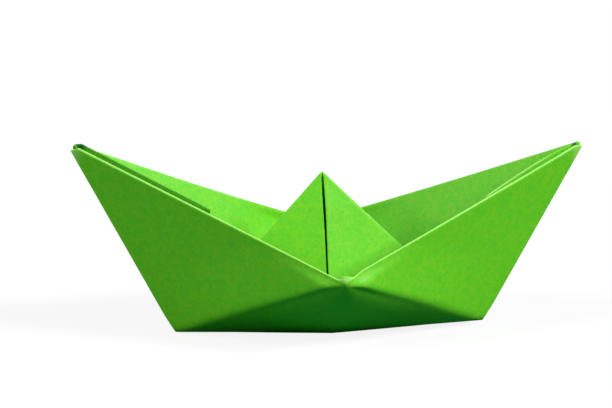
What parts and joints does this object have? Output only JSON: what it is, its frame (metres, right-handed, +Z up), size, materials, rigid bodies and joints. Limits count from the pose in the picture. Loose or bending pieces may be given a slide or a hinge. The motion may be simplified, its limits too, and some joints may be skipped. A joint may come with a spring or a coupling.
{
  "type": "origami sailboat",
  "caption": "Paper boat folded from a single sheet, with a pointed bow and stern, doubled rims and a triangular sail standing in the middle.",
  "frame": {"origin": "on the table the boat stands on, midway along its length and below the peak of the sail", "axes": "+X runs along the boat from stern to bow, +Y from the side with the sail's slit to the plain side, +Z up"},
  "size_m": [0.1748, 0.0919, 0.0682],
  "materials": {
    "green_paper": "matte bright green craft paper with a slightly mottled, fibrous face and paler worn folds"
  },
  "bodies": {
    "root": {"folded_sheet": "green_paper"}
  },
  "joints": []
}
